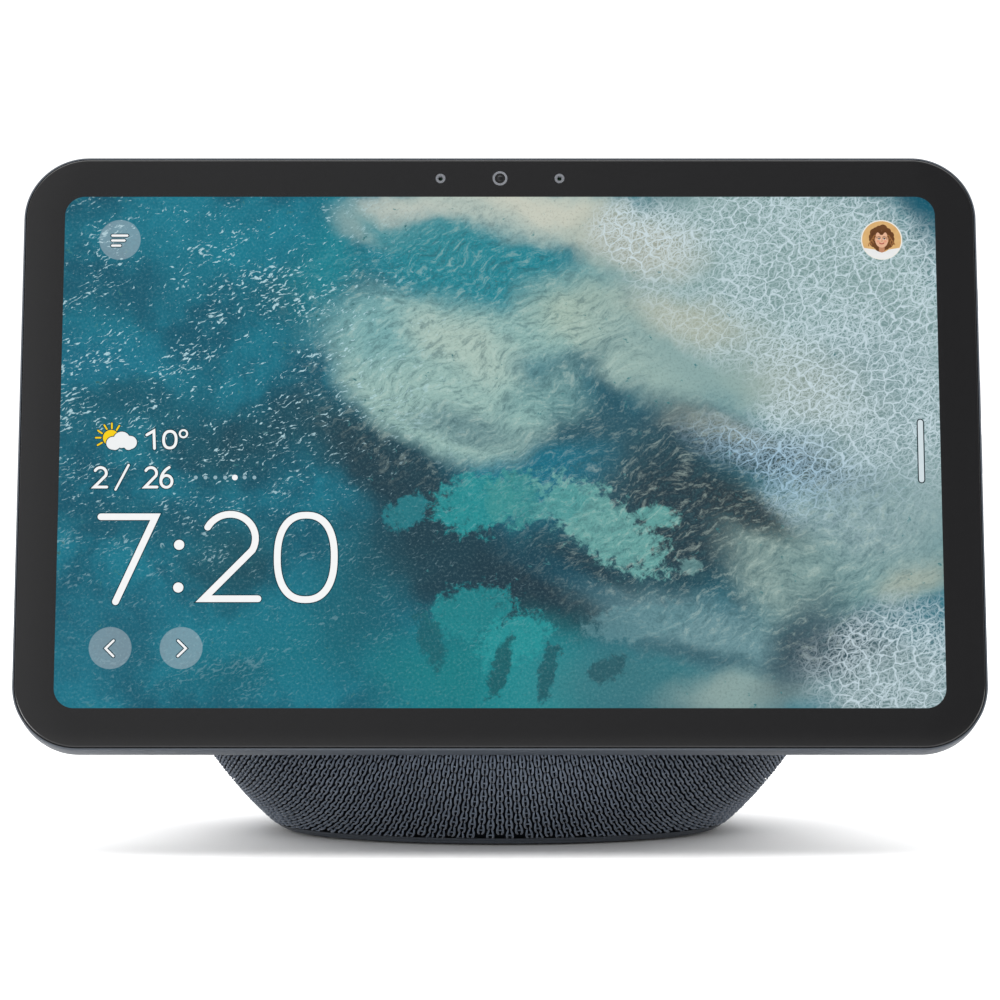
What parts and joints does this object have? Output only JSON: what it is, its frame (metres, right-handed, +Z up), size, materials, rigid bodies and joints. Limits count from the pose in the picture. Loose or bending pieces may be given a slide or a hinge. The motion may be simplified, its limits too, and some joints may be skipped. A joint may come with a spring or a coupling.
{
  "type": "smart speaker",
  "caption": "Smart speaker with a display that leans back in front of a ball-shaped base in a knitted sock, with side buttons and sprung loudspeaker cones.",
  "frame": {"origin": "centre of the rubber foot's underside, on the table, under the centre of the ball", "axes": "+Z up, +X to the right of a person who faces the display, and the display faces -Y"},
  "size_m": [0.208, 0.1606, 0.1507],
  "materials": {
    "cover_glass": "strengthened cover glass, printed black on its back around the picture",
    "mic_port": "moulded microphone port",
    "lcd_panel": "bonded colour panel",
    "camera": "camera body and lens barrel",
    "circuit_board": "solder-masked board",
    "die_cast_frame": "die-cast frame",
    "head_plastic": "fine-textured slate plastic",
    "button_plastic": "fine-textured slate plastic",
    "shield_metal": "tinned shield",
    "spreader_metal": "rolled sheet",
    "antenna_foil": "plated foil",
    "flex_cable": "polyimide flat cable",
    "screw_steel": "zinc-plated steel",
    "base_plastic": "glass-filled plastic",
    "neck_cable": "flat cable in a black jacket",
    "knit_fabric": "three-dimensional knit in charcoal blue yarn",
    "shell_plastic": "black moulded grille shell",
    "ring_plastic": "fine-textured slate plastic",
    "foot_rubber": "soft anti-slip rubber",
    "ballast_steel": "plain steel disc",
    "chamber_plastic": "moulded enclosure",
    "inlet_plastic": "black moulded plastic",
    "driver_basket": "black stamped steel",
    "driver_rubber": "butyl roll",
    "cone_paper": "coated paper pulp",
    "driver_magnet": "plated steel and ferrite",
    "spider_cloth": "resin-dipped cloth"
  },
  "bodies": {
    "speaker": {"cover_glass": "cover_glass", "mic_port_left": "mic_port", "mic_port_right": "mic_port", "lcd_module": "lcd_panel", "camera_module": "camera", "camera_mic_board": "circuit_board", "button_board": "circuit_board", "main_board": "circuit_board", "audio_board": "circuit_board", "mid_frame": "die_cast_frame", "rear_cover": "head_plastic", "shield_can": "shield_metal", "heat_spreader": "spreader_metal", "antenna_left": "antenna_foil", "antenna_right": "antenna_foil", "display_flex": "flex_cable", "frame_screw_1": "screw_steel", "frame_screw_2": "screw_steel", "frame_screw_3": "screw_steel", "frame_screw_4": "screw_steel", "neck_screw_1": "screw_steel", "neck_screw_2": "screw_steel", "neck_screw_3": "screw_steel", "neck_screw_4": "screw_steel", "baffle_screw_1": "screw_steel", "baffle_screw_2": "screw_steel", "base_screw_1": "screw_steel", "base_screw_2": "screw_steel", "base_screw_3": "screw_steel", "neck": "base_plastic", "front_baffle": "base_plastic", "base_plate": "base_plastic", "neck_cable": "neck_cable", "fabric_sock": "knit_fabric", "ball_shell_left": "shell_plastic", "ball_shell_right": "shell_plastic", "bottom_ring": "ring_plastic", "rubber_foot": "foot_rubber", "ballast_plate": "ballast_steel", "acoustic_chamber": "chamber_plastic", "inlet_bezel": "inlet_plastic", "dc_inlet": "inlet_plastic", "woofer_basket": "driver_basket", "left_driver_basket": "driver_basket", "right_driver_basket": "driver_basket", "woofer_surround": "driver_rubber", "left_driver_surround": "driver_rubber", "right_driver_surround": "driver_rubber", "woofer_magnet": "driver_magnet", "left_driver_magnet": "driver_magnet", "right_driver_magnet": "driver_magnet", "woofer_spider": "spider_cloth"},
    "mute_button": {"mute_button": "button_plastic"},
    "volume_up_button": {"volume_up_button": "button_plastic"},
    "volume_down_button": {"volume_down_button": "button_plastic"},
    "woofer_cone": {"woofer_cone": "cone_paper"},
    "left_driver_cone": {"left_driver_cone": "cone_paper"},
    "right_driver_cone": {"right_driver_cone": "cone_paper"}
  },
  "joints": [
    {"name": "mute_press", "type": "slide", "parent": "speaker", "child": "mute_button", "axis": [-1, 0, 0], "range_m": [0, 0.0004], "stiffness_N_per_m": 2500},
    {"name": "volume_up_press", "type": "slide", "parent": "speaker", "child": "volume_up_button", "axis": [-1, 0, 0], "range_m": [0, 0.0004], "stiffness_N_per_m": 2500},
    {"name": "volume_down_press", "type": "slide", "parent": "speaker", "child": "volume_down_button", "axis": [-1, 0, 0], "range_m": [0, 0.0004], "stiffness_N_per_m": 2500},
    {"name": "woofer_travel", "type": "slide", "parent": "speaker", "child": "woofer_cone", "axis": [0, 1, 0], "range_m": [-0.003, 0.003], "stiffness_N_per_m": 1500, "deforming": ["woofer_surround", "woofer_spider"]},
    {"name": "left_driver_travel", "type": "slide", "parent": "speaker", "child": "left_driver_cone", "axis": [-1, 0, 0], "range_m": [-0.0012, 0.0012], "stiffness_N_per_m": 1200, "deforming": ["left_driver_surround"]},
    {"name": "right_driver_travel", "type": "slide", "parent": "speaker", "child": "right_driver_cone", "axis": [1, 0, 0], "range_m": [-0.0012, 0.0012], "stiffness_N_per_m": 1200, "deforming": ["right_driver_surround"]}
  ]
}
